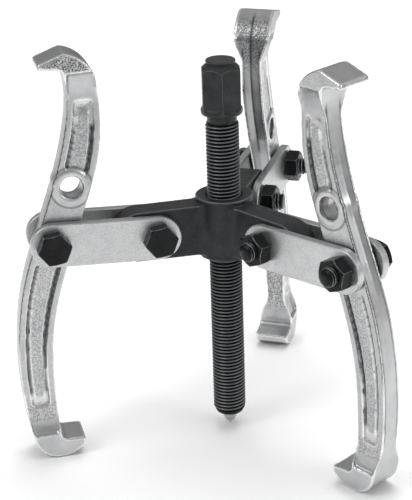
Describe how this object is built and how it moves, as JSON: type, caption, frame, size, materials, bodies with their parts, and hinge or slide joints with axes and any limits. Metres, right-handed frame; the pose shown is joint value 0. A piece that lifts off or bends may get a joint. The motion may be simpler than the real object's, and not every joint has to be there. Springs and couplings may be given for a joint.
{
  "type": "gear puller",
  "caption": "Reversible-jaw gear puller: a black forged yoke with a long forcing screw, and hooked silver jaws hung on paired flat links.",
  "frame": {"origin": "on the axis of the forcing screw, in the plane of the yoke's three pivot bolts", "axes": "+Z along the screw towards its wrench hexagon, +Y along the back arm, +X to the right of the back arm seen from the front"},
  "size_m": [0.1669, 0.1553, 0.1795],
  "materials": {
    "black_forging": "black oxide over a forged surface, semi-matt, with brighter edges",
    "black_screw": "black oxide on turned and rolled steel, oiled, semi-gloss",
    "plated_jaw": "satin zinc or nickel plate over a forged surface, slightly pebbly",
    "plated_link": "satin plate on rolled flat bar",
    "black_bolt": "black oxide, semi-gloss",
    "black_nut": "black oxide, semi-gloss"
  },
  "bodies": {
    "yoke": {"yoke": "black_forging"},
    "centre_point": {"centre_point": "black_screw"},
    "forcing_screw": {"forcing_screw": "black_screw"},
    "back_links": {"back_link_head_side": "plated_link", "back_link_nut_side": "plated_link", "back_inner_bolt": "black_bolt", "back_inner_nut": "black_nut", "back_outer_bolt": "black_bolt", "back_outer_nut": "black_nut"},
    "back_jaw": {"back_jaw": "plated_jaw"},
    "left_links": {"left_link_head_side": "plated_link", "left_link_nut_side": "plated_link", "left_inner_bolt": "black_bolt", "left_inner_nut": "black_nut", "left_outer_bolt": "black_bolt", "left_outer_nut": "black_nut"},
    "left_jaw": {"left_jaw": "plated_jaw"},
    "right_links": {"right_link_head_side": "plated_link", "right_link_nut_side": "plated_link", "right_inner_bolt": "black_bolt", "right_inner_nut": "black_nut", "right_outer_bolt": "black_bolt", "right_outer_nut": "black_nut"},
    "right_jaw": {"right_jaw": "plated_jaw"}
  },
  "joints": [
    {"name": "screw_feed", "type": "slide", "parent": "yoke", "child": "centre_point", "axis": [0, 0, 1], "range_m": [-0.033, 0.07]},
    {"name": "screw_turn", "type": "hinge", "parent": "centre_point", "child": "forcing_screw", "pos_m": [0, 0, 0], "axis": [0, 0, 1], "continuous": true},
    {"name": "back_link_pivot", "type": "hinge", "parent": "yoke", "child": "back_links", "pos_m": [0, 0.0304, 0], "axis": [-1, 0, 0], "range_deg": [-29, 31]},
    {"name": "back_jaw_pivot", "type": "hinge", "parent": "back_links", "child": "back_jaw", "pos_m": [0, 0.07519, 0.00107], "axis": [1, 0, 0], "range_deg": [-40, 20]},
    {"name": "left_link_pivot", "type": "hinge", "parent": "yoke", "child": "left_links", "pos_m": [-0.02633, -0.0152, 0], "axis": [0.5, -0.866, 0], "range_deg": [-27, 33]},
    {"name": "left_jaw_pivot", "type": "hinge", "parent": "left_links", "child": "left_jaw", "pos_m": [-0.06509, -0.03758, 0.00198], "axis": [-0.5, 0.866, 0], "range_deg": [-33, 27]},
    {"name": "right_link_pivot", "type": "hinge", "parent": "yoke", "child": "right_links", "pos_m": [0.02633, -0.0152, 0], "axis": [0.5, 0.866, 0], "range_deg": [-27, 33]},
    {"name": "right_jaw_pivot", "type": "hinge", "parent": "right_links", "child": "right_jaw", "pos_m": [0.06509, -0.03758, 0.00198], "axis": [-0.5, -0.866, 0], "range_deg": [-34, 26]}
  ],
  "couplings": [
    {"joint": "screw_turn", "follows": "screw_feed", "rad_per_m": 3957.9}
  ]
}
